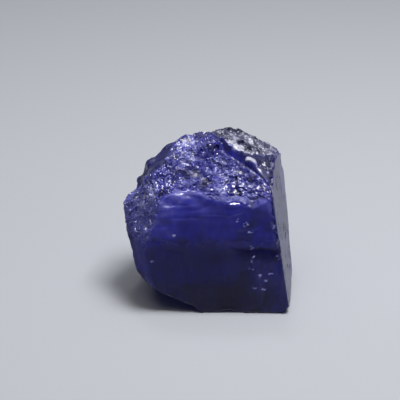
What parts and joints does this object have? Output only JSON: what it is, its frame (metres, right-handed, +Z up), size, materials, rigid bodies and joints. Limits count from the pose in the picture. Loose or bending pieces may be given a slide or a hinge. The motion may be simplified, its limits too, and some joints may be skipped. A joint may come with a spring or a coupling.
{
  "type": "rough tanzanite crystal",
  "caption": "Rough blue-violet tanzanite crystal with a flat cleavage flank, a hackly broken top and a small flat spot it stands on.",
  "frame": {"origin": "on the surface that the stone rests on, under the middle of its bounding box", "axes": "+Z up, -Y out of the broad dark front face, +X out of the flat cleavage flank"},
  "size_m": [0.0182, 0.0148, 0.0171],
  "materials": {
    "tanzanite": "glassy blue-violet gem, sparkling where it broke, grey and smooth on the cleavage"
  },
  "bodies": {
    "root": {"tanzanite_crystal": "tanzanite"}
  },
  "joints": []
}
